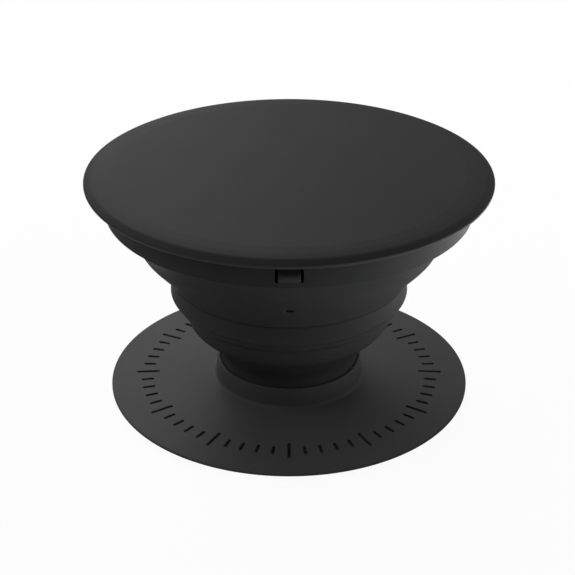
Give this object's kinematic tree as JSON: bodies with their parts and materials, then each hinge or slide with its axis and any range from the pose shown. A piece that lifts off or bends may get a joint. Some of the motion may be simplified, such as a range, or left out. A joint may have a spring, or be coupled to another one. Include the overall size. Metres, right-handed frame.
{
  "type": "collapsible phone grip",
  "caption": "Collapsible phone grip: a round button on a folding accordion cone that turns in a round stick-on platform.",
  "frame": {"origin": "centre of the adhesive face", "axes": "+Z along the grip's axis, from the phone to the button; -Y is the side with the vent hole, which faces the camera"},
  "size_m": [0.0398, 0.0398, 0.0238],
  "materials": {
    "pad_gel": "smooth sticky gel",
    "platform_plastic": "fine matte black",
    "accordion_rubber": "satin black elastomer",
    "button_plastic": "fine matte black"
  },
  "bodies": {
    "base": {"platform": "platform_plastic", "adhesive_pad": "pad_gel"},
    "accordion": {"accordion": "accordion_rubber"},
    "button": {"button": "button_plastic"}
  },
  "joints": [
    {"name": "swivel", "type": "hinge", "parent": "base", "child": "accordion", "pos_m": [0, 0, 0], "axis": [0, 0, 1], "continuous": true},
    {"name": "collapse", "type": "slide", "parent": "accordion", "child": "button", "axis": [0, 0, -1], "range_m": [0, 0.01745], "deforming": ["accordion"]}
  ]
}
